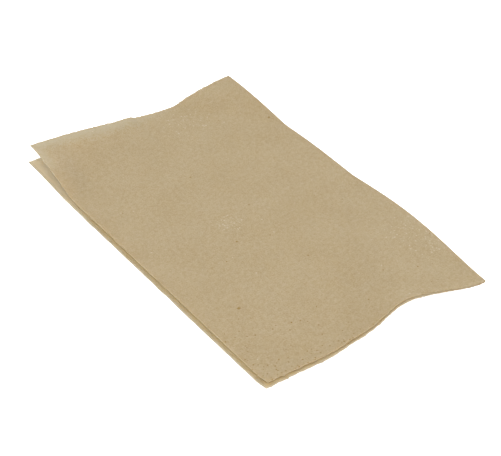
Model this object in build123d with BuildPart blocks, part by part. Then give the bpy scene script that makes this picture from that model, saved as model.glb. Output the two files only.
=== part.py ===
"""A paper napkin: one sheet of soft brown paper, folded once and lying loosely on a table.

X runs along the fold, Y from the free edges to the fold, and Z up from the table.
The lower leaf mostly lies flat, and the upper leaf follows it with a little air between.
Each leaf is two smooth faces through profiles from its free edge to the fold.
"""

import os
from math import cos, exp, hypot, log, pi

from build123d import *

# The sheet
sheet_length = 165.0  # between the two cut ends, along the fold
leaf_width = 101.6  # from the lower free edge to the fold, measured along the paper
paper_thickness = 0.25
upper_set_in = 1.7  # the upper free edge stops this far short of the lower one
fold_skew = 0.8  # a fold out of square moves the upper free edge towards -X, the lower one towards +X
end_taper = 1.6  # each end of a free edge stops this far short of the fold's end

# The air between the leaves
leaf_gap = 0.4  # from the pressed fold to the middle of the leaves
free_edge_gap = 0.6  # at the upper free edge
free_edge_reach = 18.0  # this extra air fades out this far from the free edge

# The swell where the fold is pressed less and the upper leaf stands off the lower one
swell_height = 1.0
swell_place = -19.5  # along the fold, from its middle
swell_width = 23.5
swell_reach = 14.0  # how fast it fades from the fold into the leaf

# The pressed fold
fold_depth = 0.4  # how far the fold's nose stands out beyond the air between the leaves
fold_bevel = 0.3  # the nose is rounded off by this much above and below

# The ridge that arches both leaves, from the right end back to the fold.
# Its crest and its two feet are straight lines that cut off the back right corner:
# each has its distance from that corner along the right end and along the fold.
ridge_height = 8.6
ridge_length = 80.0  # from the right end to where the ridge has died out
crest_on_end = 39.5
crest_on_fold = 73.0
front_foot_on_end = 74.0
front_foot_on_fold = 93.0
back_foot_on_end = 2.7
back_foot_on_fold = 4.8

# The dent in the ridge's front slope, a soft wave across the right end
dent_depth = 0.9
dent_place = -4.0  # across the sheet, from the middle of the leaf
dent_wave = 28.0
dent_width = 19.5
dent_reach = 12.0  # how fast it fades from the right end into the sheet

# The back left corner, where both leaves bend up at a crease that cuts the corner off
back_corner_lift = 4.9
back_crease_on_end = 29.5
back_crease_on_fold = 42.0
back_crease_softness = 2.0

# The front left corner, where only the upper leaf bends up
front_corner_lift = 5.6
front_crease_on_end = 65.0
front_crease_on_free_edge = 34.0
front_crease_softness = 2.5

# The slight curl of both leaves at the two front corners
left_curl = 1.9
left_curl_reach = 38.0
right_curl = 1.1
right_curl_reach = 9.0
curl_depth = 63.0  # how far the curl reaches from the free edge towards the fold

# Points along the sheet that carry its surfaces
stations = 29  # profiles along the fold
leaf_points = 25  # points across each leaf of a profile

left_end = -sheet_length / 2
right_end = sheet_length / 2
free_edge = -leaf_width / 2
flat_fold = leaf_width / 2  # where the fold would lie if the sheet were flat
below, above = -1, 1  # the lower and the upper leaf, and the two sides of the paper


def ease(share):
    """A smooth step from 0 to 1 as share goes from 0 to 1."""
    held = min(max(share, 0.0), 1.0)
    return held * held * (3 - 2 * held)


def bell(distance, width):
    """A smooth bump of height 1 that fades out on both sides."""
    return exp(-((distance / width) ** 2))


def corner_bend(from_side, from_end, on_end, on_side, lift, softness):
    """Height of a corner that bends up at a crease and levels out towards its tip."""
    span = hypot(1 / on_end, 1 / on_side)
    distance = (1 - from_end / on_side - from_side / on_end) / span
    past = softness * log(1 + exp(distance / softness))
    share = min(past * span, 1.0)
    return lift * share * (2 - share)


def back_corner(x, y):
    """Height of both leaves at the back left corner."""
    return corner_bend(
        abs(flat_fold - y),
        x - left_end,
        back_crease_on_end,
        back_crease_on_fold,
        back_corner_lift,
        back_crease_softness,
    )


def front_corner(x, y):
    """Height of the upper leaf above the lower one at the front left corner."""
    return corner_bend(
        y - free_edge,
        x - left_end,
        front_crease_on_end,
        front_crease_on_free_edge,
        front_corner_lift,
        front_crease_softness,
    )


def ridge(x, y):
    """Height of the ridge, which eases up to its crest from either foot."""
    inset = right_end - x
    from_fold = flat_fold - y
    crest = crest_on_end * (1 - inset / crest_on_fold)
    front_foot = front_foot_on_end * (1 - inset / front_foot_on_fold)
    back_foot = back_foot_on_end * (1 - inset / back_foot_on_fold)
    height = ridge_height * max(1 - inset / ridge_length, 0.0)
    if from_fold > crest:
        return height * ease((front_foot - from_fold) / (front_foot - crest))
    return height * ease((from_fold - back_foot) / (crest - back_foot))


def dent(x, y):
    """Depth of the soft wave across the right end."""
    along = y - dent_place
    wave = cos(2 * pi * along / dent_wave) * bell(along, dent_width)
    return dent_depth * wave * exp((x - right_end) / dent_reach)


def curl(x, y):
    """Height of the two front corners above the table."""
    depth = ease(1 - (y - free_edge) / curl_depth)
    left = left_curl * ease(1 - (x - left_end) / left_curl_reach)
    right = right_curl * ease(1 - (right_end - x) / right_curl_reach)
    return depth * (left + right)


def lower_height(x, y):
    """Height of the lower leaf's top side."""
    rise = ridge(x, y) + back_corner(x, y) + curl(x, y) - dent(x, y)
    return paper_thickness + max(rise, 0.0)


def air(x, y):
    """Air between the two leaves."""
    at_edge = (free_edge_gap - leaf_gap) * ease(1 - (y - free_edge) / free_edge_reach)
    at_fold = swell_height * bell(x - swell_place, swell_width) * exp((y - flat_fold) / swell_reach)
    return leaf_gap + at_edge + at_fold + front_corner(x, y)


def upper_height(x, y):
    """Height of the upper leaf's underside."""
    return lower_height(x, y) + air(x, y)


def used_width(x, height):
    """Width that the rise and fall of a leaf takes up at one place along the fold."""
    step = leaf_width / leaf_points
    used = 0.0
    for i in range(leaf_points):
        y = free_edge + i * step
        used += hypot(step, height(x, y + step) - height(x, y)) - step
    return used


def leaf_profile(x, leaf):
    """Points across the inner side of a leaf, from its free edge to the fold."""
    height = lower_height
    start = free_edge
    lower_used = used_width(x, lower_height)
    if leaf == above:
        height = upper_height
        start += upper_set_in + used_width(x, upper_height) - lower_used
    width = flat_fold - lower_used - fold_depth - start
    points = []
    for i in range(leaf_points):
        share = i / (leaf_points - 1)
        y = start + width * share
        drawn_in = end_taper * x / right_end + fold_skew * leaf
        points.append(Vector(x - drawn_in * (1 - share), y, height(x, y)))
    return points


def other_side(profile, side):
    """The same points on the other side of the paper, below it or above it."""
    points = []
    for i, point in enumerate(profile):
        along = profile[min(i + 1, len(profile) - 1)] - profile[max(i - 1, 0)]
        normal = Vector(0, -along.Z, along.Y).normalized()
        points.append(point + normal * paper_thickness * side)
    return points


def nose_profile(lower, upper):
    """The bevelled nose of the fold at one station, as its four corners."""
    low = lower[-1]
    high = upper[-1]
    low_corner = low + Vector(0, fold_depth, fold_bevel)
    high_corner = high + Vector(0, fold_depth, -fold_bevel)
    return [low, low_corner, high_corner, high]


def along_curve(points):
    """A smooth curve along the fold, through one point of each station."""
    return Edge.make_spline(points, parameters=list(range(stations)))


def leaf_face(profiles):
    """A smooth face through the profiles across one side of a leaf."""
    spacing = [i / (leaf_points - 1) for i in range(leaf_points)]
    across = [Edge.make_spline(points, parameters=spacing) for points in profiles]
    along = [along_curve([points[end] for points in profiles]) for end in (0, -1)]
    return Face.make_gordon_surface(across, along)


def paper_solid():
    """The folded sheet, closed from its two leaves, the nose of the fold and the cut edges."""
    xs = [left_end + sheet_length * i / (stations - 1) for i in range(stations)]
    lower_inside = [leaf_profile(x, below) for x in xs]
    upper_inside = [leaf_profile(x, above) for x in xs]
    lower_outside = [other_side(profile, below) for profile in lower_inside]
    upper_outside = [other_side(profile, above) for profile in upper_inside]
    noses = [nose_profile(*leaves) for leaves in zip(lower_outside, upper_outside)]

    leaves = []
    for inside, outside in ((lower_inside, lower_outside), (upper_inside, upper_outside)):
        leaves.append((leaf_face(inside), leaf_face(outside)))
    faces = [face for leaf in leaves for face in leaf]

    # The fold: one wall inside, and the nose outside between the two leaves
    lower_fold = [face.edges().sort_by(Axis.Y)[-1] for face in leaves[0]]
    upper_fold = [face.edges().sort_by(Axis.Y)[-1] for face in leaves[1]]
    corner_curves = [along_curve(points) for points in zip(*noses)][1:-1]
    nose_curves = [lower_fold[1], *corner_curves, upper_fold[1]]
    faces.append(Face.make_surface_from_curves(lower_fold[0], upper_fold[0]))
    for low, high in zip(nose_curves, nose_curves[1:]):
        faces.append(Face.make_surface_from_curves(low, high))

    # The cut edges: the free edge and both ends of each leaf, and the ends of the fold
    for inside_face, outside_face in leaves:
        for axis, end in ((Axis.Y, 0), (Axis.X, 0), (Axis.X, -1)):
            inside_edge = inside_face.edges().sort_by(axis)[end]
            outside_edge = outside_face.edges().sort_by(axis)[end]
            faces.append(Face.make_surface_from_curves(inside_edge, outside_edge))
    for end in (0, -1):
        corners = [lower_inside[end][-1], *noses[end], upper_inside[end][-1]]
        faces.append(Face(Wire.make_polygon(corners)))
    return Solid(Shell(faces))


# The sheet is set down on the table, over the middle of its own outline
sheet = paper_solid()
outline = sheet.bounding_box()

with BuildPart() as folded_sheet:
    with Locations((-outline.center().X, -outline.center().Y, -outline.min.Z)):
        add(sheet)

folded_sheet.part.label = "folded_sheet"
os.makedirs("parts", exist_ok=True)
export_step(folded_sheet.part, "parts/folded_sheet.step")
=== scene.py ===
"""A brown paper napkin: one sheet folded once, lying loosely on a pale floor.

The sheet is one closed mesh. Its height over the table comes from the same few forms as the CAD part:
a ridge at one end, a back corner bent up at a crease, a lifted front corner of the upper leaf and two
slight curls. Sharper creases, a nick, cockle, rough cut ends and the paper's fibres are added here.
"""

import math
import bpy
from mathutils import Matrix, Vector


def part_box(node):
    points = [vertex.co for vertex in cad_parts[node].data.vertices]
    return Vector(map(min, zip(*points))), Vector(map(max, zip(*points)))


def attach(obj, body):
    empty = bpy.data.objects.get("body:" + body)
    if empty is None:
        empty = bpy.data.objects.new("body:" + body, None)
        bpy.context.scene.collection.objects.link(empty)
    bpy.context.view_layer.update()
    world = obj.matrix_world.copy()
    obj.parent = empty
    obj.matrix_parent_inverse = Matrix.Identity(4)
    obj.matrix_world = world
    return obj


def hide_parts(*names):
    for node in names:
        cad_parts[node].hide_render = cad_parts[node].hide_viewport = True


bl_info = {
    "name": "Folded Paper Napkin",
    "version": (1, 0, 0),
    "blender": (4, 5, 0),
    "location": "View3D > Sidebar > Napkin",
    "description": "Builds a brown paper napkin that is folded once and lies loosely on a pale floor",
    "category": "Add Mesh",
}

import bpy
import numpy as np
from bpy.props import FloatProperty, FloatVectorProperty, PointerProperty
from bpy.types import Operator, Panel, PropertyGroup
from mathutils import Vector, noise

SHEET_NODE = "folded_sheet"
SHEET_PIECE = "napkin_sheet"
PAPER_SLOT = "kraft_tissue"
OPEN_SHEET_MAP = "open_sheet"

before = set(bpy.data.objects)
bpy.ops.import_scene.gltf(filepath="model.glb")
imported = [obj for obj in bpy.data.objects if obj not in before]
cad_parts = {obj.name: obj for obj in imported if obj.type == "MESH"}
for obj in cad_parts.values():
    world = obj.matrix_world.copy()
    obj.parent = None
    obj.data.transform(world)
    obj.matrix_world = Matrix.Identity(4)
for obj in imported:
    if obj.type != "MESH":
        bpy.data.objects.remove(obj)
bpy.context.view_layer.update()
sheet_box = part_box(SHEET_NODE)

BELOW, ABOVE = -1, 1  # the lower and the upper leaf, and the two sides of the paper

# The mesh: rows along the fold, steps across each leaf, points round the nose of the fold
ROWS = 128
ACROSS = 180
NOSE_POINTS = 5
LEAF_ROW = ACROSS + 1  # points of one row on one side of a leaf
WIDTH_STEPS = 80  # steps in which the width that the rises use up is added
SHARP_ANGLE = math.radians(55)  # an edge that turns by more than this is drawn sharp

# The fold is pressed: its nose stands out this far beyond the air between the leaves
FOLD_DEPTH = 0.0004

# Unevenness of the paper, in layers of noise: how fine each layer is, its seed and its weight
COCKLE_LAYERS = ((55.0, 3.0, 0.7), (140.0, 8.0, 0.3))
TEETH_LAYERS = ((480.0, 5.0, 0.5), (1300.0, 7.0, 1.2))
WANDER_LAYERS = ((160.0, 11.0, 0.5),)
WANDER_REACH = 0.03  # the free edge's wander fades over this share of the leaf

# The fold presses out a share of the cockle, over a share of the leaf
PRESSED, PRESSED_REACH = 0.7, 0.2

# Clouds of fibres in the paper: scale, detail, roughness and weight of each noise
CLOUD_LAYERS = (
    (60.0, 3.0, 0.55, 0.42),
    (620.0, 3.0, 0.6, 1.0),
    (1900.0, 1.0, 0.5, 1.5),
)
CREPE_STRETCH = (1.0, 0.16, 1.0)  # crepe lines run across the sheet
CREPE_NOISE = (2400.0, 2.0, 0.5)
CREPE_WEIGHT = 0.4
LUMP_LAYER, LUMP_WEIGHT = 1, 0.6  # the layer of clouds that also stands up in the paper's relief
CUT_CLOUD = 1.6  # the clouds are stronger at the cut edges

# Relief of the paper and of its cut edges: strength and depth
PAPER_RELIEF = (0.35, 0.00016)
CUT_RELIEF = (0.6, 0.0002)

# Places on the open sheet are in metres: along it from its middle, and across it from the fold, where
# the upper leaf is on the plus side and the lower leaf on the minus side.
LOWER_LEAF = (-0.02, -0.03)  # where masks of the lower leaf begin, a little way from the fold
RAGGED = 1.6  # distances are made ragged: they are multiplied by this number less the paper's shade

# The results of a mask as a value crosses a span
GROW, FADE = (0.0, 1.0), (1.0, 0.0)

# The pale left end is painted light, a glow of light through the lifted paper: distances from the fold
# between which its band grows, and the band's width at both.
# The band turns the corner: distances from the free edge and from the left end between which it fades.
PALE_FROM_FOLD = (0.025, 0.060)
PALE_WIDTH = (0.004, 0.009)
PALE_SIDE = (0.2, 1.0)  # shares of the band's width between which it fades
PALE_EDGE_WIDTH = (0.001, 0.006)
PALE_EDGE_LENGTH = (0.008, 0.022)
PALE_STRENGTH = 0.55
LOOSE_FIBRES = (0.0002, 0.0010)  # loose fibres make the very edges pale, and fade between these distances

# Painted light on the lower leaf in the shade under the lifted corner: where it begins across the sheet,
# distances from the left end between which it fades, and its weaker edge
UNDER_CORNER_ACROSS = (-0.080, -0.088)
UNDER_CORNER_ALONG = (0.012, 0.055)
UNDER_CORNER_EDGE, UNDER_CORNER_EDGE_STRENGTH = (0.0, 0.003), (0.7, 1.0)

# A painted correction that cools the warm light on the upper leaf's lifted corner: distances from its free
# edge and its end between which it fades
LIFTED_ACROSS = (0.006, 0.018)
LIFTED_ALONG = (0.015, 0.042)

# Painted light on the lower leaf in the shade under the upper one's edges: distances from its edges where
# it grows and fades
RIM_START = (0.0004, 0.0018)
RIM_END = (0.008, 0.025)

# A thin, pale knot in the middle of the upper leaf: place along the sheet and distance from the fold
PALE_KNOT = (0.0, 0.0585)
KNOT_SIZE = 0.0035
KNOT_STRENGTH = 0.3

# Pale flecks, as cells for each metre, size in a cell, and share of the cells that hold one. They lie
# closer in a few clusters: place along the sheet, distance from the fold, reach, and share.
FLECK_CELLS, FLECK_SIZE, FLECK_SHARE = 1100.0, 0.27, 0.0015
FLECK_CLUSTERS = (
    # The first cluster is painted light: pale flecks on the ridge's back slope, where the light falls
    (0.050, 0.009, 0.016, 0.17),
    (-0.067, 0.033, 0.013, 0.13),
    (0.0, 0.0585, 0.007, 0.4),
)

# Specks of bark are few. A crowd of specks towards the front right corner is painted shade, where that
# corner lies darker. It thickens from one place along the sheet to the right end, and across the sheet
# between two distances from the fold.
BARK_CELLS, BARK_SIZE, BARK_SHARE = 1050.0, 0.24, 0.0012
BARK_STRENGTH = 0.9
CROWD_START = 0.04
CROWD_FROM_FOLD, CROWD_GROWTH = (0.045, 0.1), (0.03, 1.0)
CROWD_SHARE = 0.17

# Larger chips of bark in the upper leaf: place along the sheet, distance from the fold, and size
BARK_CHIPS = (
    (0.0438, 0.0848, 0.0009),
    (0.0112, 0.0629, 0.0006),
    (-0.0053, 0.0456, 0.0005),
    (0.0336, 0.0462, 0.0005),
    (-0.0343, 0.0536, 0.0005),
    (-0.0497, 0.0032, 0.0006),
)
CHIP_STRENGTH = 0.7

# The smallest of the scattered specks has this share of their given size, and the largest has one more
SMALLEST_SPECK = 0.4

# A single spot's outline: the noise that makes it ragged, its least reach, and where it fades
SPOT_NOISE = (1500.0, 2.0, 0.6)
SPOT_LEAST = 0.5
SPOT_FADE = (0.5, 1.0)

# The stage: half the floor's side, its drop under the sheet, and the light from all round
FLOOR_REACH = 3.0
FLOOR_DROP = 0.0001
SURROUND_LIGHT = 0.40

# Soft square lamps round the napkin: name, azimuth, elevation, side and power
LAMP_DISTANCE = 1.3
LAMPS = (
    ("front_lamp", math.radians(54), math.radians(38), 0.9, 8.6),
    ("side_lamp", math.radians(141), math.radians(42), 0.7, 5.5),
    ("low_lamp", math.radians(-35), math.radians(36), 0.6, 5.3),
)

# The photograph's width in pixels, and the width of the camera's sensor in millimetres
PICTURE_WIDTH = 501
SENSOR_WIDTH = 36.0


class NapkinSizes(PropertyGroup):
    """Sizes of the folded sheet and of the way it lies."""

    sheet_length: FloatProperty(
        name="Sheet Length",
        description="Length of the sheet along its fold",
        default=0.165,
        unit="LENGTH",
    )
    leaf_width: FloatProperty(
        name="Leaf Width",
        description="Width of the lower leaf from its free edge to the fold, along the paper",
        default=0.1016,
        unit="LENGTH",
    )
    thickness: FloatProperty(
        name="Paper Thickness",
        description="Thickness of the creped paper",
        default=0.00025,
        unit="LENGTH",
    )
    set_in: FloatProperty(
        name="Upper Leaf Set In",
        description="How far the upper free edge stops short of the lower one",
        default=0.0017,
        unit="LENGTH",
    )
    skew: FloatProperty(
        name="Fold Skew",
        description="How far a fold out of square moves each free edge, one way or the other",
        default=0.0008,
        unit="LENGTH",
    )
    taper: FloatProperty(
        name="End Taper",
        description="How much each end of a free edge stops short of the fold's end",
        default=0.0016,
        unit="LENGTH",
    )
    leaf_gap: FloatProperty(
        name="Leaf Gap",
        description="Air between the leaves from the fold to their middle",
        default=0.0004,
        unit="LENGTH",
    )
    edge_gap: FloatProperty(
        name="Edge Gap",
        description="Air between the leaves at the free edges",
        default=0.0006,
        unit="LENGTH",
    )
    ridge_height: FloatProperty(
        name="Ridge Height",
        description="Height of the ridge where it leaves the sheet at the right end",
        default=0.0086,
        unit="LENGTH",
    )
    ridge_length: FloatProperty(
        name="Ridge Length",
        description="Distance from the right end to where the ridge has died out",
        default=0.080,
        unit="LENGTH",
    )
    back_corner_lift: FloatProperty(
        name="Back Corner Lift",
        description="Height of the back corner, where both leaves bend up at a crease",
        default=0.0049,
        unit="LENGTH",
    )
    front_corner_lift: FloatProperty(
        name="Front Corner Lift",
        description="Height of the upper leaf over the lower one at the front left corner",
        default=0.0056,
        unit="LENGTH",
    )
    left_curl: FloatProperty(
        name="Left Curl",
        description="Curl of both leaves at the front left corner",
        default=0.0019,
        unit="LENGTH",
    )
    right_curl: FloatProperty(
        name="Right Curl",
        description="Curl of both leaves at the front right corner",
        default=0.0011,
        unit="LENGTH",
    )
    cockle: FloatProperty(
        name="Cockle",
        description="Height of the soft unevenness all over the paper",
        default=0.00018,
        unit="LENGTH",
    )
    rough_cut: FloatProperty(
        name="Rough Cut",
        description="How far the teeth of the cut ends stand out",
        default=0.0004,
        unit="LENGTH",
    )


class NapkinColours(PropertyGroup):
    """Colours of the unbleached paper, of the light and shade painted on it, and of the floor."""

    paper_light: FloatVectorProperty(
        name="Light Fibres",
        description="Colour of the paper where its fibres are thin",
        default=(0.532, 0.426, 0.2785),
        subtype="COLOR",
    )
    paper_dark: FloatVectorProperty(
        name="Dark Fibres",
        description="Colour of the paper where its fibres are dense",
        default=(0.4254, 0.3173, 0.1707),
        subtype="COLOR",
    )
    # Also the colour of the crowd of specks painted as shade at the front right corner
    bark_and_shade_speck: FloatVectorProperty(
        name="Specks",
        description="Colour of the small specks of bark in recycled pulp",
        default=(0.28, 0.17, 0.03),
        subtype="COLOR",
    )
    # Also the colour of a cluster of flecks painted as light on a lit slope of the ridge
    fleck_and_painted_light: FloatVectorProperty(
        name="Flecks",
        description="Colour of the pale flecks of bleached fibre",
        default=(0.605, 0.52, 0.37),
        subtype="COLOR",
    )
    # Painted light: a glow of light through the lifted left end; also the real paleness of loose fibres at
    # the edges
    painted_end_light_and_fibres: FloatVectorProperty(
        name="Thin End",
        description="Colour of the left end, where light comes through it, and of loose fibres",
        default=(0.50, 0.45, 0.33),
        subtype="COLOR",
    )
    # Painted light: lightens the shade on the lower leaf under the lifted corner
    under_corner_painted_light: FloatVectorProperty(
        name="Thin Leaf",
        description="Colour of the lower leaf where light comes through it under the lifted corner",
        default=(0.68, 0.555, 0.375),
        subtype="COLOR",
    )
    # Painted light: a cooler tint over the warm light that reaches the lifted corner
    painted_cooling_tint: FloatVectorProperty(
        name="Lifted Tint",
        description="Tint of the upper leaf's lifted corner, which light reaches from both sides",
        default=(0.945, 0.965, 1.0),
        subtype="COLOR",
    )
    cut_edge: FloatVectorProperty(
        name="Cut Edge",
        description="Colour of the cut edges of the paper",
        default=(0.40, 0.325, 0.215),
        subtype="COLOR",
    )
    # Painted light: a lighter, warmer colour over the shade on the lower leaf under the upper one's edges
    painted_light_rim: FloatVectorProperty(
        name="Inner Rim",
        description="Colour of the lower leaf just under the edges of the upper one",
        default=(0.596, 0.451, 0.236),
        subtype="COLOR",
    )
    floor: FloatVectorProperty(
        name="Floor",
        description="Colour of the pale floor",
        default=(0.9, 0.9, 0.9),
        subtype="COLOR",
    )


def ease(share):
    """A smooth step from 0 to 1 as share goes from 0 to 1."""
    held = np.clip(share, 0.0, 1.0)
    return held * held * (3 - 2 * held)


def corner_bend(from_side, from_end, on_end, on_side, lift, softness, levelling):
    """Height of a corner that bends up at a crease and levels out towards its tip."""
    span = math.hypot(1 / on_end, 1 / on_side)
    distance = (1 - from_end / on_side - from_side / on_end) / span
    past = softness * np.logaddexp(0, distance / softness)
    share = np.minimum(past * span, 1.0)
    return lift * (1 - (1 - share) ** levelling)


class SheetForm:
    """Height of both leaves over the table, as a function of the place on the sheet."""

    # The ridge's crest and feet: distance from the back right corner along the right end and the fold
    crest_on_end, crest_on_fold = 0.0395, 0.073
    front_foot_on_end, front_foot_on_fold = 0.074, 0.093
    back_foot_on_end, back_foot_on_fold = 0.0027, 0.0048

    # The creases of the back corner and of the lifted front corner
    back_crease_on_end, back_crease_on_fold, back_crease_softness = 0.0295, 0.042, 0.00015
    front_crease_on_end, front_crease_on_free_edge, front_crease_softness = 0.065, 0.034, 0.001

    # How much each corner levels out from its crease to its tip: 1 is a straight slope
    back_levelling, front_levelling = 2.0, 1.75

    # How far the curls and the air at the free edges reach
    left_curl_reach, right_curl_reach, curl_depth = 0.038, 0.006, 0.063
    edge_gap_reach = 0.018
    closer = 0.35  # share by which the leaves lie closer together at the right end

    # A dent across the right end, a nick in the left end and a swell along the fold
    dent, dent_at, dent_wave, dent_width, dent_reach = 0.0009, -0.004, 0.028, 0.0195, 0.012
    nick, nick_at, nick_width, nick_reach = 0.0015, 0.0005, 0.0040, 0.010
    swell, swell_at, swell_width, swell_reach = 0.00125, -0.023, 0.025, 0.014

    def __init__(self, sizes):
        self.sizes = sizes
        self.left_end = -sizes.sheet_length / 2
        self.right_end = sizes.sheet_length / 2
        self.free_edge = -sizes.leaf_width / 2
        self.flat_fold = sizes.leaf_width / 2

    def ridge(self, x, y):
        """The ridge eases up to its crest from either foot."""
        inset = self.right_end - x
        from_fold = self.flat_fold - y
        crest = self.crest_on_end * (1 - inset / self.crest_on_fold)
        front_foot = self.front_foot_on_end * (1 - inset / self.front_foot_on_fold)
        back_foot = self.back_foot_on_end * (1 - inset / self.back_foot_on_fold)
        height = self.sizes.ridge_height * np.maximum(1 - inset / self.sizes.ridge_length, 0.0)
        front = ease((front_foot - from_fold) / (front_foot - crest))
        back = ease((from_fold - back_foot) / (crest - back_foot))
        return height * np.where(from_fold > crest, front, back)

    def back_corner(self, x, y):
        """Both leaves bend up at the back left corner."""
        return corner_bend(
            np.abs(self.flat_fold - y),
            x - self.left_end,
            self.back_crease_on_end,
            self.back_crease_on_fold,
            self.sizes.back_corner_lift,
            self.back_crease_softness,
            self.back_levelling,
        )

    def front_corner(self, x, y):
        """The upper leaf lifts off the lower one at the front left corner."""
        return corner_bend(
            y - self.free_edge,
            x - self.left_end,
            self.front_crease_on_end,
            self.front_crease_on_free_edge,
            self.sizes.front_corner_lift,
            self.front_crease_softness,
            self.front_levelling,
        )

    def curl(self, x, y):
        """Both front corners curl up a little."""
        depth = ease(1 - (y - self.free_edge) / self.curl_depth)
        left = self.sizes.left_curl * ease(1 - (x - self.left_end) / self.left_curl_reach)
        right = self.sizes.right_curl * ease(1 - (self.right_end - x) / self.right_curl_reach)
        return depth * (left + right)

    def wrinkles(self, x, y):
        """The dent in the right end and the nick in the left end, which fade into the sheet."""
        along = y - self.dent_at
        wave = np.cos(2 * np.pi * along / self.dent_wave) * np.exp(-((along / self.dent_width) ** 2))
        dent = self.dent * wave * np.exp(-(self.right_end - x) / self.dent_reach)
        place = (y - self.nick_at) / self.nick_width
        nick = self.nick * place * np.exp(-place * place) * np.exp(-(x - self.left_end) / self.nick_reach)
        return -dent - nick

    def lower(self, x, y):
        """Height of the lower leaf's top side."""
        rises = self.ridge(x, y) + self.back_corner(x, y) + self.curl(x, y)
        return self.sizes.thickness + np.maximum(rises + self.wrinkles(x, y), 0.0)

    def air(self, x, y):
        """Air between the two leaves."""
        wider = self.sizes.edge_gap - self.sizes.leaf_gap
        at_edge = wider * ease(1 - (y - self.free_edge) / self.edge_gap_reach)
        place = (x - self.swell_at) / self.swell_width
        at_fold = self.swell * np.exp(-place * place) * np.exp(-(self.flat_fold - y) / self.swell_reach)
        closing = 1 - self.closer * ease(x / self.right_end)
        return (self.sizes.leaf_gap + at_edge) * closing + at_fold + self.front_corner(x, y)

    def upper(self, x, y):
        """Height of the upper leaf's underside."""
        return self.lower(x, y) + self.air(x, y)

    def used_width(self, x, height):
        """Width that the rise and fall of a leaf uses up at each place along the fold."""
        steps = np.linspace(self.free_edge, self.flat_fold, WIDTH_STEPS)
        heights = height(x[:, None], steps[None, :])
        run = steps[1] - steps[0]
        return (np.hypot(run, np.diff(heights, axis=1)) - run).sum(axis=1)


def leaf_plan(form, x, share, leaf):
    """Where points of a leaf lie along the fold, with the taper of its ends and the fold's skew."""
    sizes = form.sizes
    lean = 1 - share
    tapered = x * (1 - sizes.taper * lean / form.right_end)
    return tapered - leaf * sizes.skew * lean


def uneven(places, layers):
    """Soft noise at each point of a grid of places, added up from its layers."""
    flat = places.reshape(-1, 2)
    total = 0.0
    for scale, seed, weight in layers:
        values = [noise.noise((u * scale, v * scale, seed)) for u, v in flat]
        total = total + weight * np.array(values).reshape(places.shape[:-1])
    return total


def leaf_points(form, leaf):
    """Points of one leaf's inner side, and their places on the open sheet."""
    sizes = form.sizes
    x = np.linspace(form.left_end, form.right_end, ROWS + 1)
    lower_used = form.used_width(x, form.lower)
    fold = form.flat_fold - lower_used - FOLD_DEPTH
    start = np.full_like(x, form.free_edge)
    height = form.lower
    if leaf == ABOVE:
        height = form.upper
        start = start + sizes.set_in + form.used_width(x, form.upper) - lower_used
    share = np.linspace(0, 1, LEAF_ROW)
    y = start[:, None] + (fold - start)[:, None] * share[None, :]
    grid_x = np.broadcast_to(x[:, None], y.shape)
    places = np.stack([grid_x, leaf * (form.flat_fold - y)], axis=-1)

    # The paper's own unevenness: long soft waves with shorter ones over them, less at the fold
    rise = 0.5 + 0.5 * uneven(places, COCKLE_LAYERS)
    calm = 1 - PRESSED * ease((share - (1 - PRESSED_REACH)) / PRESSED_REACH)
    z = height(grid_x, y) + sizes.cockle * rise * calm[None, :]

    # The cut ends have small uneven teeth, and the free edge a slight wander
    ends = np.zeros(ROWS + 1)
    ends[[0, -1]] = 1.0
    teeth = sizes.rough_cut * uneven(places, TEETH_LAYERS) * ends[:, None]
    plan_x = leaf_plan(form, grid_x, share[None, :], leaf) + teeth
    near_edge = np.maximum(1 - share / WANDER_REACH, 0.0)
    wander = sizes.rough_cut * uneven(places, WANDER_LAYERS) * near_edge[None, :]
    return np.stack([plan_x, y + wander, z], axis=-1), places


def outer_side(points, thickness, side):
    """The same points on the outer side of the paper."""
    along = np.gradient(points, axis=0)
    across = np.gradient(points, axis=1)
    normal = np.cross(along, across)
    normal /= np.linalg.norm(normal, axis=-1, keepdims=True)
    return points + normal * thickness * side


def nose_points(low, high):
    """Points round the nose of the fold, from the lower leaf's outer side to the upper one's."""
    middle = (low + high) / 2
    half = (high - low) / 2
    rings = []
    for i in range(1, NOSE_POINTS + 1):
        turn = math.pi * i / (NOSE_POINTS + 1)
        out = np.array([0.0, FOLD_DEPTH * math.sin(turn), 0.0])
        rings.append(middle - half * math.cos(turn) + out)
    return np.stack(rings, axis=1)


def sheet_rows(form):
    """Rows of points that go once round the paper, and their places on the open sheet.

    Each row goes under the lower leaf, round the nose, over the upper leaf and back inside.
    """
    lower_in, lower_place = leaf_points(form, BELOW)
    upper_in, upper_place = leaf_points(form, ABOVE)
    lower_out = outer_side(lower_in, form.sizes.thickness, BELOW)
    upper_out = outer_side(upper_in, form.sizes.thickness, ABOVE)
    nose = nose_points(lower_out[:, -1], upper_out[:, -1])
    nose_place = np.repeat(lower_place[:, -1:], NOSE_POINTS, axis=1)
    points = (lower_out, nose, upper_out[:, ::-1], upper_in, lower_in[:, ::-1])
    places = (lower_place, nose_place, upper_place[:, ::-1], upper_place, lower_place[:, ::-1])
    return np.concatenate(points, axis=1), np.concatenate(places, axis=1)


def side_faces(numbers):
    """Faces from row to row, and for each one whether it is a cut free edge, as 0 or 1."""
    rows, count = numbers.shape
    turned = np.roll(numbers, -1, axis=1)
    quads = np.stack([numbers[:-1], turned[:-1], turned[1:], numbers[1:]], axis=-1)
    free_edges = [2 * LEAF_ROW + NOSE_POINTS - 1, count - 1]
    columns = np.tile(np.arange(count), rows - 1)
    return quads.reshape(-1, 4).tolist(), np.isin(columns, free_edges).astype(int).tolist()


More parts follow.
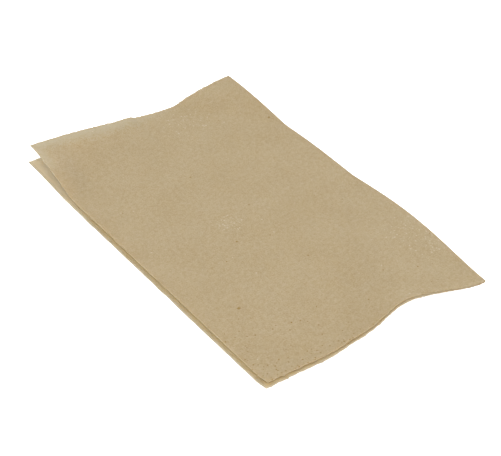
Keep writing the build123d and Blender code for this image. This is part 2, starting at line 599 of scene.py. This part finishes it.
def end_faces(row):
    """Faces that close the cut end of the sheet at one row: both leaves, then the nose of the fold."""
    upper_start = LEAF_ROW + NOSE_POINTS
    inner_fold = upper_start + 2 * LEAF_ROW - 1
    faces = []
    for j in range(ACROSS):
        for outer, inner in ((j, len(row) - 1 - j), (upper_start + j, inner_fold - j)):
            faces.append([row[outer], row[inner], row[inner - 1], row[outer + 1]])
    nose = row[ACROSS : upper_start + 1] + row[inner_fold : inner_fold + 2]
    faces.append(nose[::-1])
    return faces


def sheet_mesh(sizes):
    """The folded sheet as one closed mesh, with a map of the open sheet."""
    points, places = sheet_rows(SheetForm(sizes))
    rows, count = points.shape[:2]
    numbers = np.arange(rows * count).reshape(rows, count)
    faces, cut = side_faces(numbers)
    left_end = end_faces(numbers[0].tolist())
    right_end = [face[::-1] for face in end_faces(numbers[-1].tolist())]
    faces += left_end + right_end
    cut += [1] * (len(left_end) + len(right_end))

    # Cut faces take the second material
    mesh = bpy.data.meshes.new(SHEET_PIECE)
    mesh.from_pydata(points.reshape(-1, 3).tolist(), [], faces)
    mesh.polygons.foreach_set("material_index", cut)
    mesh.update()
    corners = np.empty(len(mesh.loops), dtype=np.int32)
    mesh.loops.foreach_get("vertex_index", corners)
    layer = mesh.uv_layers.new(name=OPEN_SHEET_MAP)
    layer.uv.foreach_set("vector", places.reshape(-1, 2)[corners].astype(np.float32).ravel())
    mesh.shade_smooth()
    mesh.set_sharp_from_angle(angle=SHARP_ANGLE)
    return mesh


def lay_down(mesh):
    """Move the mesh to where the CAD sheet lies: on the table, over the middle of the same outline."""
    points = np.empty(len(mesh.vertices) * 3)
    mesh.vertices.foreach_get("co", points)
    points = points.reshape(-1, 3)
    low, high = sheet_box
    middle = (np.array(low) + np.array(high)) / 2
    move = middle - (points.min(axis=0) + points.max(axis=0)) / 2
    move[2] = low.z - points[:, 2].min()
    mesh.vertices.foreach_set("co", (points + move).ravel())
    mesh.update()


def socket(tree, name, direction, kind, default=None):
    """A named socket of a shader node group."""
    made = tree.interface.new_socket(name=name, in_out=direction, socket_type=kind)
    if default is not None:
        made.default_value = default
    return made


def feed(tree, value, target):
    """Link a socket to an input, or set the input to a plain value."""
    if isinstance(value, bpy.types.NodeSocket):
        tree.links.new(value, target)
    else:
        target.default_value = value


def noise_node(tree, vector, scale, detail, roughness):
    """A flat noise over the open sheet."""
    node = tree.nodes.new("ShaderNodeTexNoise")
    node.noise_dimensions = "2D"
    node.inputs["Scale"].default_value = scale
    node.inputs["Detail"].default_value = detail
    node.inputs["Roughness"].default_value = roughness
    tree.links.new(vector, node.inputs["Vector"])
    return node.outputs["Fac"]


def math_node(tree, operation, first, second):
    """One step of arithmetic with two numbers, each a socket or a plain value."""
    node = tree.nodes.new("ShaderNodeMath")
    node.operation = operation
    feed(tree, first, node.inputs[0])
    feed(tree, second, node.inputs[1])
    return node.outputs["Value"]


def range_node(tree, value, span, results):
    """A smooth change from one result to the other as value crosses a span."""
    node = tree.nodes.new("ShaderNodeMapRange")
    node.interpolation_type = "SMOOTHSTEP"
    for name, number in zip(("From Min", "From Max", "To Min", "To Max"), (*span, *results)):
        node.inputs[name].default_value = number
    tree.links.new(value, node.inputs["Value"])
    return node.outputs["Result"]


def mix_colour(tree, factor, first, second, blend="MIX"):
    """A mix of two colours, each a socket or a plain colour."""
    node = tree.nodes.new("ShaderNodeMix")
    node.data_type = "RGBA"
    node.blend_type = blend
    tree.links.new(factor, node.inputs["Factor"])
    for value, name in ((first, "A"), (second, "B")):
        target = next(entry for entry in node.inputs if entry.name == name and entry.type == "RGBA")
        if isinstance(value, bpy.types.NodeSocket):
            tree.links.new(value, target)
        else:
            target.default_value = (*value, 1.0)
    return next(entry for entry in node.outputs if entry.type == "RGBA")


def fibre_group():
    """Shade and height of creped paper: cloudy fibres, and fine crepe lines across the sheet."""
    tree = bpy.data.node_groups.new("Tissue Fibres", "ShaderNodeTree")
    socket(tree, "Place", "INPUT", "NodeSocketVector")
    socket(tree, "Cloud", "INPUT", "NodeSocketFloat", 1.0)
    socket(tree, "Shade", "OUTPUT", "NodeSocketFloat")
    socket(tree, "Height", "OUTPUT", "NodeSocketFloat")
    start = tree.nodes.new("NodeGroupInput")
    end = tree.nodes.new("NodeGroupOutput")
    place = start.outputs["Place"]

    stretched = tree.nodes.new("ShaderNodeMapping")
    stretched.inputs["Scale"].default_value = CREPE_STRETCH
    tree.links.new(place, stretched.inputs["Vector"])
    crepe = noise_node(tree, stretched.outputs["Vector"], *CREPE_NOISE)
    layers = [(noise_node(tree, place, *look), weight) for *look, weight in CLOUD_LAYERS]
    layers.append((crepe, CREPE_WEIGHT))
    cloud = 0.0
    for layer, weight in layers:
        part = math_node(tree, "MULTIPLY", math_node(tree, "SUBTRACT", layer, 0.5), weight)
        cloud = math_node(tree, "ADD", part, cloud)
    amount = math_node(tree, "MULTIPLY", cloud, start.outputs["Cloud"])
    tree.links.new(math_node(tree, "ADD", amount, 0.5), end.inputs["Shade"])
    lumps = math_node(tree, "MULTIPLY", layers[LUMP_LAYER][0], LUMP_WEIGHT)
    tree.links.new(math_node(tree, "ADD", crepe, lumps), end.inputs["Height"])
    return tree


def speck_group():
    """A mask of small scattered specks: a share of the cells of a given size hold one."""
    tree = bpy.data.node_groups.new("Scattered Specks", "ShaderNodeTree")
    socket(tree, "Place", "INPUT", "NodeSocketVector")
    socket(tree, "Cells", "INPUT", "NodeSocketFloat", 250.0)
    socket(tree, "Size", "INPUT", "NodeSocketFloat", 0.1)
    socket(tree, "Share", "INPUT", "NodeSocketFloat", 0.1)
    socket(tree, "Mask", "OUTPUT", "NodeSocketFloat")
    start = tree.nodes.new("NodeGroupInput")
    end = tree.nodes.new("NodeGroupOutput")
    cells = tree.nodes.new("ShaderNodeTexVoronoi")
    cells.voronoi_dimensions = "2D"
    tree.links.new(start.outputs["Place"], cells.inputs["Vector"])
    tree.links.new(start.outputs["Cells"], cells.inputs["Scale"])
    split = tree.nodes.new("ShaderNodeSeparateColor")
    tree.links.new(cells.outputs["Color"], split.inputs["Color"])
    chosen = math_node(tree, "LESS_THAN", split.outputs["Red"], start.outputs["Share"])
    grown = math_node(tree, "ADD", split.outputs["Green"], SMALLEST_SPECK)
    reach = math_node(tree, "MULTIPLY", start.outputs["Size"], grown)
    near = math_node(tree, "LESS_THAN", cells.outputs["Distance"], reach)
    tree.links.new(math_node(tree, "MULTIPLY", near, chosen), end.inputs["Mask"])
    return tree


def spot_group():
    """A mask of one ragged spot round a given place."""
    tree = bpy.data.node_groups.new("Single Spot", "ShaderNodeTree")
    socket(tree, "Place", "INPUT", "NodeSocketVector")
    socket(tree, "Centre", "INPUT", "NodeSocketVector")
    socket(tree, "Size", "INPUT", "NodeSocketFloat", 0.001)
    socket(tree, "Mask", "OUTPUT", "NodeSocketFloat")
    start = tree.nodes.new("NodeGroupInput")
    end = tree.nodes.new("NodeGroupOutput")
    place = start.outputs["Place"]
    away = tree.nodes.new("ShaderNodeVectorMath")
    away.operation = "DISTANCE"
    tree.links.new(place, away.inputs[0])
    tree.links.new(start.outputs["Centre"], away.inputs[1])
    ragged = math_node(tree, "ADD", noise_node(tree, place, *SPOT_NOISE), SPOT_LEAST)
    reach = math_node(tree, "MULTIPLY", start.outputs["Size"], ragged)
    share = math_node(tree, "DIVIDE", away.outputs["Value"], reach)
    tree.links.new(range_node(tree, share, SPOT_FADE, FADE), end.inputs["Mask"])
    return tree


def place_group(tree, group, **values):
    """One use of a node group in a material, with its own values."""
    node = tree.nodes.new("ShaderNodeGroup")
    node.node_tree = group
    for name, value in values.items():
        feed(tree, value, node.inputs[name])
    return node


def sheet_map(tree):
    """The place on the open sheet, in metres from the middle of the fold."""
    node = tree.nodes.new("ShaderNodeUVMap")
    node.uv_map = OPEN_SHEET_MAP
    return node.outputs["UV"]


class SheetPlace:
    """The place on the open sheet in one material, and its distances from the ends and free edges."""

    def __init__(self, tree, sizes):
        self.vector = sheet_map(tree)
        split = tree.nodes.new("ShaderNodeSeparateXYZ")
        tree.links.new(self.vector, split.inputs["Vector"])
        self.along = split.outputs["X"]
        self.across = split.outputs["Y"]
        self.right_end = sizes.sheet_length / 2
        upper_width = sizes.leaf_width - sizes.set_in
        self.from_left_end = math_node(tree, "ADD", self.along, self.right_end)
        self.from_right_end = math_node(tree, "SUBTRACT", self.right_end, self.along)
        self.from_upper_edge = math_node(tree, "SUBTRACT", upper_width, self.across)
        self.from_lower_edge = math_node(tree, "ADD", self.across, sizes.leaf_width)


def tissue_shader(name):
    """A new matt paper material and its main shader."""
    material = bpy.data.materials.new(name)
    material.use_nodes = True
    shader = material.node_tree.nodes["Principled BSDF"]
    shader.inputs["Roughness"].default_value = 0.92
    shader.inputs["Specular IOR Level"].default_value = 0.1
    shader.inputs["Subsurface Weight"].default_value = 1.0
    shader.inputs["Subsurface Radius"].default_value = (1.0, 1.0, 1.0)
    shader.inputs["Subsurface Scale"].default_value = 0.001
    return material, shader


def add_bump(tree, shader, height, strength, distance):
    """Fine relief of the paper from its fibres."""
    bump = tree.nodes.new("ShaderNodeBump")
    bump.inputs["Strength"].default_value = strength
    bump.inputs["Distance"].default_value = distance
    tree.links.new(height, bump.inputs["Height"])
    tree.links.new(bump.outputs["Normal"], shader.inputs["Normal"])


def ragged_distance(tree, distance, shade):
    """A distance from an edge that varies with the paper's fibres."""
    return math_node(tree, "MULTIPLY", distance, math_node(tree, "SUBTRACT", RAGGED, shade))


def painted_light_band(tree, place, shade):
    """A mask of painted light along the upper leaf's left end, which widens from the middle of the leaf to
    its corner, and of loose fibres at the very end.
    """
    ragged = ragged_distance(tree, place.from_left_end, shade)
    width = range_node(tree, place.across, PALE_FROM_FOLD, PALE_WIDTH)
    side = range_node(tree, math_node(tree, "DIVIDE", ragged, width), PALE_SIDE, FADE)
    grown = range_node(tree, place.across, PALE_FROM_FOLD, GROW)
    loose = range_node(tree, ragged, LOOSE_FIBRES, FADE)
    band = math_node(tree, "MAXIMUM", math_node(tree, "MULTIPLY", side, grown), loose)

    # The band turns the corner a little way along the free edge
    near_edge = range_node(tree, place.from_upper_edge, PALE_EDGE_WIDTH, FADE)
    near_corner = range_node(tree, place.from_left_end, PALE_EDGE_LENGTH, FADE)
    return math_node(tree, "MAXIMUM", band, math_node(tree, "MULTIPLY", near_edge, near_corner))


def loose_rim(tree, place, shade):
    """A mask of the lower leaf's very edge at its right end and its free edge."""
    nearest = math_node(tree, "MINIMUM", place.from_lower_edge, place.from_right_end)
    loose = range_node(tree, ragged_distance(tree, nearest, shade), LOOSE_FIBRES, FADE)
    lower = range_node(tree, place.across, LOWER_LEAF, GROW)
    return math_node(tree, "MULTIPLY", loose, lower)


def under_corner_light_mask(tree, place):
    """A mask of painted light on the lower leaf, in the shade where it can be seen under the lifted
    corner.
    """
    below = range_node(tree, place.across, UNDER_CORNER_ACROSS, GROW)
    near_corner = range_node(tree, place.from_left_end, UNDER_CORNER_ALONG, FADE)
    at_edge = range_node(tree, place.from_lower_edge, UNDER_CORNER_EDGE, UNDER_CORNER_EDGE_STRENGTH)
    return math_node(tree, "MULTIPLY", math_node(tree, "MULTIPLY", below, near_corner), at_edge)


def lifted_light_mask(tree, place):
    """A mask of the painted cooling of the light on the upper leaf along its free edge, at the lifted
    corner.
    """
    across = range_node(tree, place.from_upper_edge, LIFTED_ACROSS, FADE)
    along = range_node(tree, place.from_left_end, LIFTED_ALONG, FADE)
    return math_node(tree, "MULTIPLY", across, along)


def painted_light_rim(tree, place):
    """A mask of painted light on the lower leaf, in the shade just under the free edge and the right end
    of the upper one.
    """
    lower = range_node(tree, place.across, LOWER_LEAF, GROW)
    under_edge = range_node(tree, place.from_lower_edge, RIM_START, GROW)
    under_end = range_node(tree, place.from_right_end, RIM_START, GROW)
    near_edge = range_node(tree, place.from_lower_edge, RIM_END, FADE)
    near_end = range_node(tree, place.from_right_end, RIM_END, FADE)
    under = math_node(tree, "MULTIPLY", under_edge, under_end)
    near = math_node(tree, "MAXIMUM", near_edge, near_end)
    return math_node(tree, "MULTIPLY", math_node(tree, "MULTIPLY", under, near), lower)


def colour_edges(tree, place, shade, colour, colours):
    """The paper's colour with painted light: a cooler lifted corner, a lighter warm rim in the shade under
    the upper leaf, a lighter lower leaf in the shade under the lifted corner and a pale glow along the
    left end; and pale loose fibres at the edges.
    """
    colour = mix_colour(tree, lifted_light_mask(tree, place), colour, colours.painted_cooling_tint, "MULTIPLY")
    colour = mix_colour(tree, painted_light_rim(tree, place), colour, colours.painted_light_rim)
    colour = mix_colour(tree, under_corner_light_mask(tree, place), colour, colours.under_corner_painted_light)
    pale = math_node(tree, "MAXIMUM", painted_light_band(tree, place, shade), loose_rim(tree, place, shade))
    strength = math_node(tree, "MULTIPLY", pale, PALE_STRENGTH)
    return mix_colour(tree, strength, colour, colours.painted_end_light_and_fibres)


def add_flecks(tree, place, shade, colour, fleck_and_painted_light, groups):
    """The paper's colour with a thin knot and pale flecks, which lie closer in a few clusters; the first
    cluster is painted light on a lit slope of the ridge.
    """
    vector = place.vector
    knot = place_group(tree, groups["spot"], Place=vector, Centre=(*PALE_KNOT, 0.0), Size=KNOT_SIZE)
    pale = math_node(tree, "MULTIPLY", knot.outputs["Mask"], shade)
    colour = mix_colour(tree, math_node(tree, "MULTIPLY", pale, KNOT_STRENGTH), colour, fleck_and_painted_light)
    share = FLECK_SHARE
    for along, from_fold, reach, density in FLECK_CLUSTERS:
        centre = (along, from_fold, 0.0)
        cluster = place_group(tree, groups["spot"], Place=vector, Centre=centre, Size=reach)
        closer = math_node(tree, "MULTIPLY", cluster.outputs["Mask"], density)
        share = math_node(tree, "ADD", closer, share)
    flecks = place_group(
        tree, groups["specks"], Place=vector, Cells=FLECK_CELLS, Size=FLECK_SIZE, Share=share
    )
    return mix_colour(tree, flecks.outputs["Mask"], colour, fleck_and_painted_light)


def add_bark(tree, place, colour, bark_and_shade_speck, groups):
    """The paper's colour with specks of bark and larger chips, and a crowd of specks as painted shade at
    the front right corner.
    """
    vector = place.vector
    to_right = range_node(tree, place.along, (CROWD_START, place.right_end), GROW)
    to_front = range_node(tree, place.across, CROWD_FROM_FOLD, CROWD_GROWTH)
    crowd = math_node(tree, "MULTIPLY", math_node(tree, "MULTIPLY", to_right, to_front), CROWD_SHARE)
    share = math_node(tree, "ADD", crowd, BARK_SHARE)
    bark = place_group(tree, groups["specks"], Place=vector, Cells=BARK_CELLS, Size=BARK_SIZE, Share=share)
    dark = math_node(tree, "MULTIPLY", bark.outputs["Mask"], BARK_STRENGTH)
    colour = mix_colour(tree, dark, colour, bark_and_shade_speck)
    for along, from_fold, size in BARK_CHIPS:
        chip = place_group(tree, groups["spot"], Place=vector, Centre=(along, from_fold, 0.0), Size=size)
        dark = math_node(tree, "MULTIPLY", chip.outputs["Mask"], CHIP_STRENGTH)
        colour = mix_colour(tree, dark, colour, bark_and_shade_speck)
    return colour


def tissue_material(colours, groups, sizes):
    """Creped brown tissue with pale edges, pale flecks, and specks and chips of bark, with painted light
    and shade: a glow along the left end, lighter shade under the upper leaf and its lifted corner, a
    cooler lifted corner, pale flecks on a lit slope and a crowd of specks in the shade at the front right
    corner.
    """
    material, shader = tissue_shader(PAPER_SLOT)
    tree = material.node_tree
    place = SheetPlace(tree, sizes)
    paper = place_group(tree, groups["fibres"], Place=place.vector, Cloud=1.0)
    shade = paper.outputs["Shade"]
    colour = mix_colour(tree, shade, colours.paper_dark, colours.paper_light)
    colour = colour_edges(tree, place, shade, colour, colours)
    colour = add_flecks(tree, place, shade, colour, colours.fleck_and_painted_light, groups)
    colour = add_bark(tree, place, colour, colours.bark_and_shade_speck, groups)
    tree.links.new(colour, shader.inputs["Base Color"])
    add_bump(tree, shader, paper.outputs["Height"], *PAPER_RELIEF)
    return material


def cut_material(colours, fibres):
    """The cut edge of the paper, where the fibres stand out."""
    material, shader = tissue_shader(PAPER_SLOT + "_cut")
    tree = material.node_tree
    paper = place_group(tree, fibres, Place=sheet_map(tree), Cloud=CUT_CLOUD)
    colour = mix_colour(tree, paper.outputs["Shade"], colours.paper_dark, colours.cut_edge)
    tree.links.new(colour, shader.inputs["Base Color"])
    add_bump(tree, shader, paper.outputs["Height"], *CUT_RELIEF)
    return material


class NAPKIN_OT_add_sheet(Operator):
    """Add the folded paper sheet with its materials"""

    bl_idname = "napkin.add_sheet"
    bl_label = "Add Folded Sheet"

    def execute(self, context):
        sizes = context.scene.napkin_sizes
        colours = context.scene.napkin_colours
        mesh = sheet_mesh(sizes)
        lay_down(mesh)
        sheet = bpy.data.objects.new(SHEET_PIECE, mesh)
        context.scene.collection.objects.link(sheet)
        groups = {"fibres": fibre_group(), "specks": speck_group(), "spot": spot_group()}
        mesh.materials.append(tissue_material(colours, groups, sizes))
        mesh.materials.append(cut_material(colours, groups["fibres"]))
        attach(sheet, "root")
        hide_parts(SHEET_NODE)
        return {"FINISHED"}


def view_direction(azimuth, elevation):
    """Direction from the napkin to a camera or lamp. Azimuth 0 is on the side of the free edges."""
    flat = math.cos(elevation)
    return Vector((math.sin(azimuth) * flat, -math.cos(azimuth) * flat, math.sin(elevation)))


class NAPKIN_OT_add_stage(Operator):
    """Add the pale floor, the soft light and the camera"""

    bl_idname = "napkin.add_stage"
    bl_label = "Add Stage"

    camera_azimuth: FloatProperty(
        name="Camera Azimuth",
        description="Angle of the camera round the napkin, from the free edges",
        default=math.radians(54.041),
        subtype="ANGLE",
    )
    camera_elevation: FloatProperty(
        name="Camera Elevation",
        description="Angle of the camera over the floor",
        default=math.radians(37.363),
        subtype="ANGLE",
    )
    camera_distance: FloatProperty(
        name="Camera Distance",
        description="Distance of the camera from the point that it looks at",
        default=0.5566,
        unit="LENGTH",
    )
    camera_focus: FloatProperty(
        name="Focal Length in Pixels",
        description="Focal length of the camera, in pixels of the picture",
        default=1454.5,
    )
    camera_target: FloatVectorProperty(
        name="Camera Target",
        description="Point on the floor that the camera looks at",
        default=(0.005788, -0.002191, 0.0),
        subtype="XYZ",
        unit="LENGTH",
    )

    def execute(self, context):
        scene = context.scene
        self.add_floor(scene)
        self.add_light(scene)
        self.add_camera(scene)
        scene.view_settings.view_transform = "Standard"
        scene.view_settings.look = "None"
        return {"FINISHED"}

    def add_floor(self, scene):
        """A wide plain floor. Its own glow keeps it white where it is seen, but lights nothing."""
        reach = FLOOR_REACH
        corners = [(-reach, -reach, 0), (reach, -reach, 0), (reach, reach, 0), (-reach, reach, 0)]
        mesh = bpy.data.meshes.new("floor")
        mesh.from_pydata(corners, [], [(0, 1, 2, 3)])
        material = bpy.data.materials.new("pale_floor")
        material.use_nodes = True
        shader = material.node_tree.nodes["Principled BSDF"]
        shader.inputs["Base Color"].default_value = (*scene.napkin_colours.floor, 1.0)
        shader.inputs["Roughness"].default_value = 1.0
        shader.inputs["Specular IOR Level"].default_value = 0.0
        shader.inputs["Emission Color"].default_value = (1.0, 1.0, 1.0, 1.0)
        seen = material.node_tree.nodes.new("ShaderNodeLightPath")
        material.node_tree.links.new(seen.outputs["Is Camera Ray"], shader.inputs["Emission Strength"])
        mesh.materials.append(material)
        floor = bpy.data.objects.new("floor", mesh)
        floor.location.z = -FLOOR_DROP
        scene.collection.objects.link(floor)

    def add_light(self, scene):
        """Even white light from all round, and lamps behind the camera and on either side of it."""
        world = bpy.data.worlds.new("white_surround")
        scene.world = world
        world.use_nodes = True
        background = world.node_tree.nodes["Background"]
        background.inputs["Color"].default_value = (1.0, 1.0, 1.0, 1.0)
        background.inputs["Strength"].default_value = SURROUND_LIGHT
        for lamp in LAMPS:
            self.add_lamp(scene, *lamp)

    def add_lamp(self, scene, name, azimuth, elevation, side, power):
        """A square soft lamp at a fixed distance that shines on the middle of the napkin."""
        lamp = bpy.data.lights.new(name, "AREA")
        lamp.shape = "SQUARE"
        lamp.size = side
        lamp.energy = power
        holder = bpy.data.objects.new(name, lamp)
        back = view_direction(azimuth, elevation)
        holder.location = back * LAMP_DISTANCE
        holder.rotation_euler = back.to_track_quat("Z", "Y").to_euler()
        scene.collection.objects.link(holder)

    def add_camera(self, scene):
        """The camera at the photograph's angle."""
        camera = bpy.data.cameras.new("photo_camera")
        camera.sensor_fit = "HORIZONTAL"
        camera.sensor_width = SENSOR_WIDTH
        camera.lens = self.camera_focus * SENSOR_WIDTH / PICTURE_WIDTH
        camera.dof.use_dof = False
        back = view_direction(self.camera_azimuth, self.camera_elevation)
        holder = bpy.data.objects.new("photo_camera", camera)
        holder.location = Vector(self.camera_target) + back * self.camera_distance
        holder.rotation_euler = back.to_track_quat("Z", "Y").to_euler()
        scene.collection.objects.link(holder)
        scene.camera = holder


class NAPKIN_PT_panel(Panel):
    """Sizes, colours and steps of the folded napkin"""

    bl_label = "Folded Napkin"
    bl_idname = "NAPKIN_PT_panel"
    bl_space_type = "VIEW_3D"
    bl_region_type = "UI"
    bl_category = "Napkin"

    def draw(self, context):
        layout = self.layout
        for group in (context.scene.napkin_sizes, context.scene.napkin_colours):
            box = layout.box()
            for name in group.__annotations__:
                box.prop(group, name)
        layout.operator(NAPKIN_OT_add_sheet.bl_idname)
        layout.operator(NAPKIN_OT_add_stage.bl_idname)


CLASSES = (NapkinSizes, NapkinColours, NAPKIN_OT_add_sheet, NAPKIN_OT_add_stage, NAPKIN_PT_panel)


def register():
    for cls in CLASSES:
        bpy.utils.register_class(cls)
    bpy.types.Scene.napkin_sizes = PointerProperty(type=NapkinSizes)
    bpy.types.Scene.napkin_colours = PointerProperty(type=NapkinColours)


def unregister():
    del bpy.types.Scene.napkin_colours
    del bpy.types.Scene.napkin_sizes
    for cls in reversed(CLASSES):
        bpy.utils.unregister_class(cls)


def main():
    register()
    bpy.ops.napkin.add_sheet()
    bpy.ops.napkin.add_stage()


if __name__ == "__main__":
    main()
